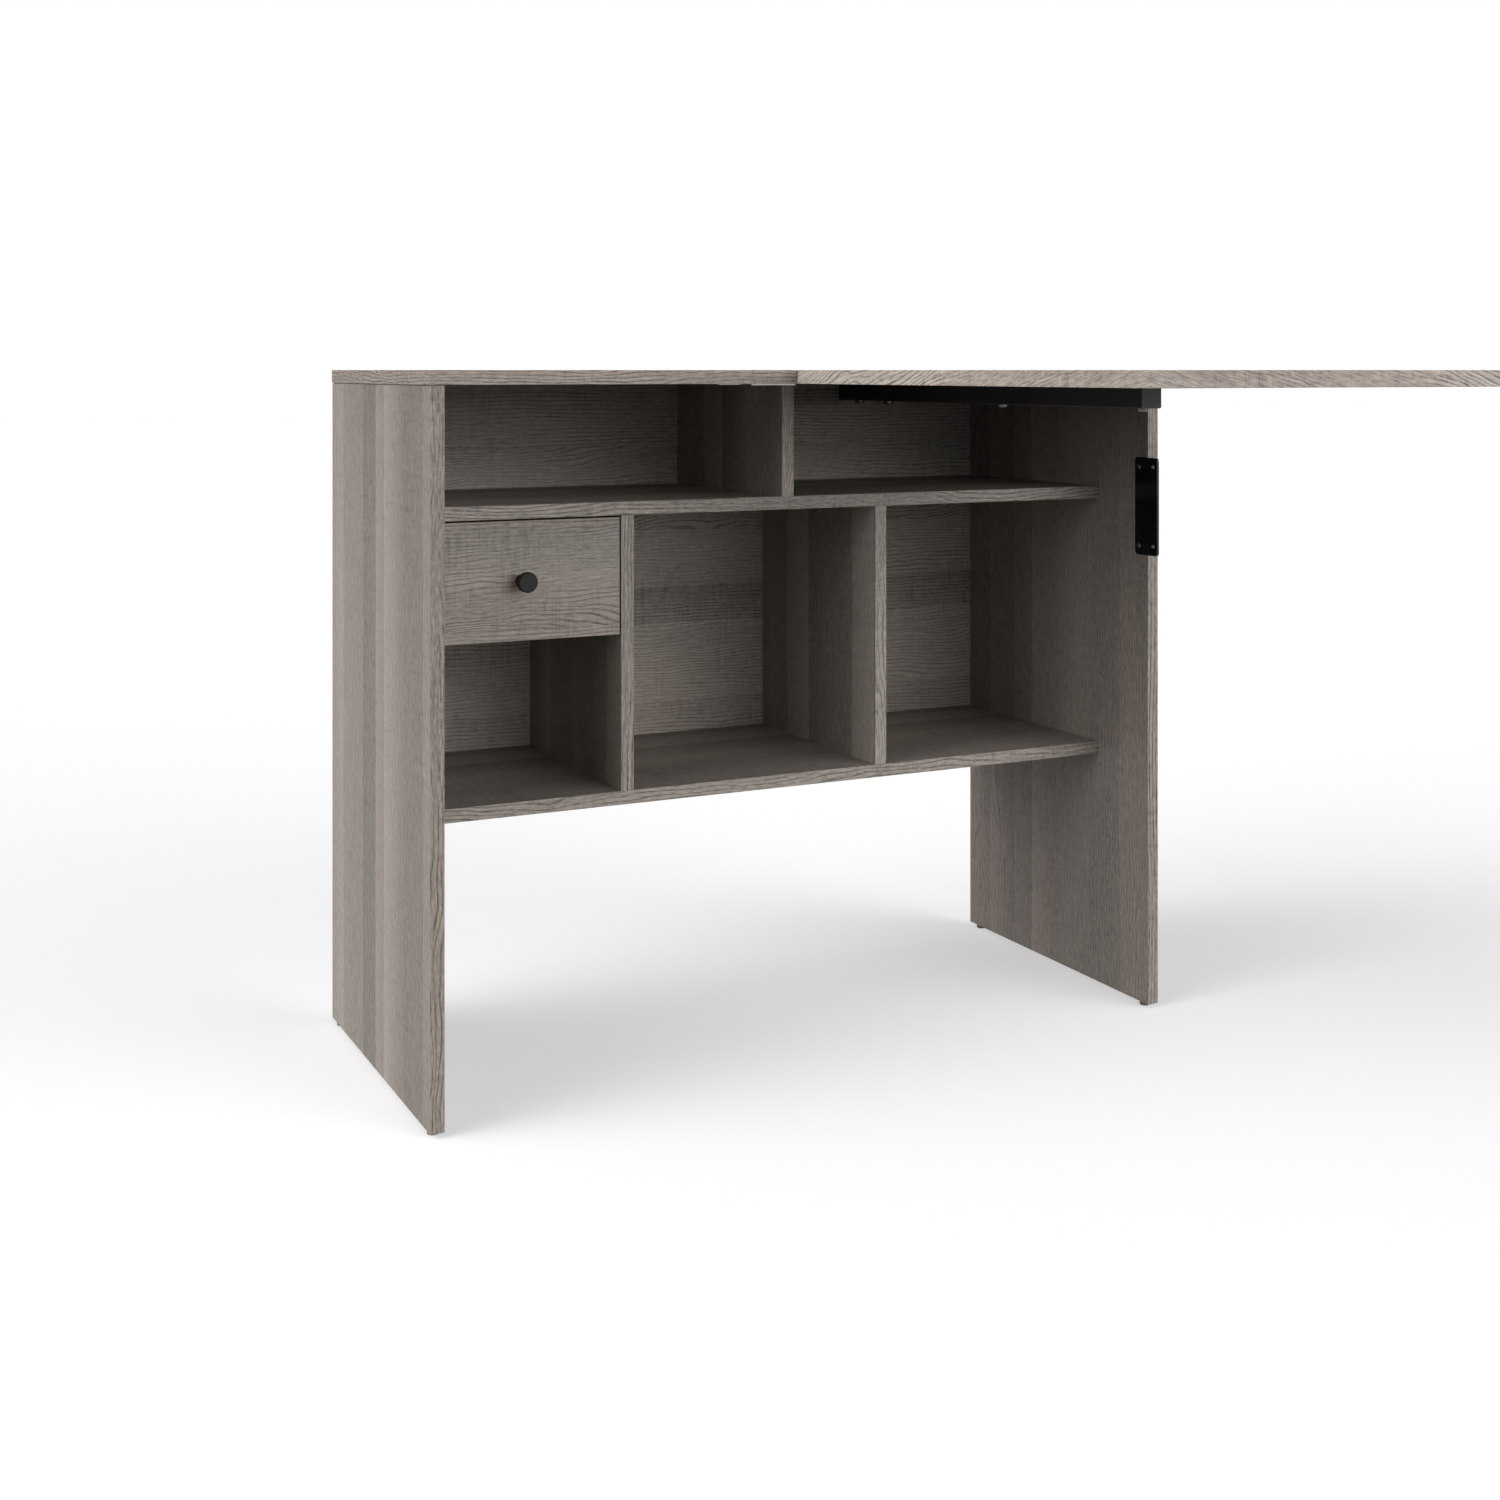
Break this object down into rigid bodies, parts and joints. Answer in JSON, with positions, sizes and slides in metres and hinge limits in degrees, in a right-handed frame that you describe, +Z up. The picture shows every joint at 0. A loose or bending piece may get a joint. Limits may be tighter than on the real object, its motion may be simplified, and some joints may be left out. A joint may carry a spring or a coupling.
{
  "type": "desk return with storage bays",
  "caption": "Desk return with open storage bays, one drawer on ball-bearing slides, a two-piece top that runs forward as a desk, a steel rail under it and a joining plate.",
  "frame": {"origin": "on the floor, at the centre of the overall length and width", "axes": "+Z up, the open front faces -Y, +X to the right seen from the front"},
  "size_m": [0.907, 1.008, 0.77],
  "materials": {
    "grey_oak_laminate": "matte grey weathered oak print with fine grain and saw marks",
    "edge_band": "matte grey oak print, grain along the edge; lighter on the desk top",
    "back_board": "matte grey oak print with horizontal grain",
    "drawer_box_laminate": "matte plain grey laminate",
    "drawer_bottom_board": "matte hardboard",
    "black_powder_coat": "fine textured black powder coat",
    "black_gloss_enamel": "gloss black enamel",
    "black_screw": "satin black",
    "black_plastic": "matte",
    "dark_plastic": "matte",
    "dark_knob": "matte black lacquer",
    "beech": "raw beech",
    "cover_plastic": "matte",
    "yellow_zinc": "yellow zinc plate",
    "zinc_alloy": "as cast",
    "zinc_steel": "bright zinc plate",
    "slide_steel": "zinc plated sheet",
    "ball_steel": "polished"
  },
  "bodies": {
    "cabinet": {"left_side_panel": "grey_oak_laminate", "right_side_panel": "grey_oak_laminate", "return_top": "grey_oak_laminate", "desk_top": "grey_oak_laminate", "upper_shelf": "grey_oak_laminate", "lower_shelf": "grey_oak_laminate", "upper_divider": "grey_oak_laminate", "lower_divider_left": "grey_oak_laminate", "lower_divider_right": "grey_oak_laminate", "back_panel": "back_board", "left_panel_edge_band": "edge_band", "right_panel_edge_band": "edge_band", "return_top_edge_bands": "edge_band", "desk_top_edge_bands": "edge_band", "upper_shelf_edge_band": "edge_band", "lower_shelf_edge_band": "edge_band", "upper_divider_edge_band": "edge_band", "left_divider_edge_band": "edge_band", "right_divider_edge_band": "edge_band", "top_rail": "black_powder_coat", "rail_bolts": "black_screw", "rail_inserts": "yellow_zinc", "rail_end_plugs": "black_plastic", "joining_plate": "black_gloss_enamel", "joining_plate_screws": "black_screw", "seam_plates": "zinc_steel", "seam_plate_screws": "zinc_steel", "floor_glides": "dark_plastic", "glide_nails": "zinc_steel", "cam_locks": "zinc_alloy", "cam_covers": "cover_plastic", "cam_bolts": "zinc_steel", "dowels": "beech", "divider_screws": "zinc_steel", "back_nails": "zinc_steel", "slide_cabinet_member_left": "slide_steel", "slide_cabinet_member_right": "slide_steel", "slide_cabinet_screws": "zinc_steel"},
    "drawer": {"drawer_front": "grey_oak_laminate", "drawer_side_left": "drawer_box_laminate", "drawer_side_right": "drawer_box_laminate", "drawer_back": "drawer_box_laminate", "drawer_bottom": "drawer_bottom_board", "drawer_knob": "dark_knob", "knob_screw": "zinc_steel", "slide_drawer_member_left": "slide_steel", "slide_drawer_member_right": "slide_steel", "slide_drawer_screws": "zinc_steel", "drawer_cam_locks": "zinc_alloy", "drawer_cam_covers": "cover_plastic", "drawer_cam_bolts": "zinc_steel", "drawer_dowels": "beech", "drawer_back_screws": "zinc_steel"},
    "slide_cages": {"ball_cage_left": "slide_steel", "ball_cage_right": "slide_steel", "slide_balls": "ball_steel"}
  },
  "joints": [
    {"name": "drawer_slide", "type": "slide", "parent": "cabinet", "child": "drawer", "axis": [0, -1, 0], "range_m": [0, 0.18]},
    {"name": "cage_slide", "type": "slide", "parent": "cabinet", "child": "slide_cages", "axis": [0, -1, 0], "range_m": [0, 0.09]}
  ],
  "couplings": [
    {"joint": "cage_slide", "follows": "drawer_slide", "ratio": 0.5}
  ]
}
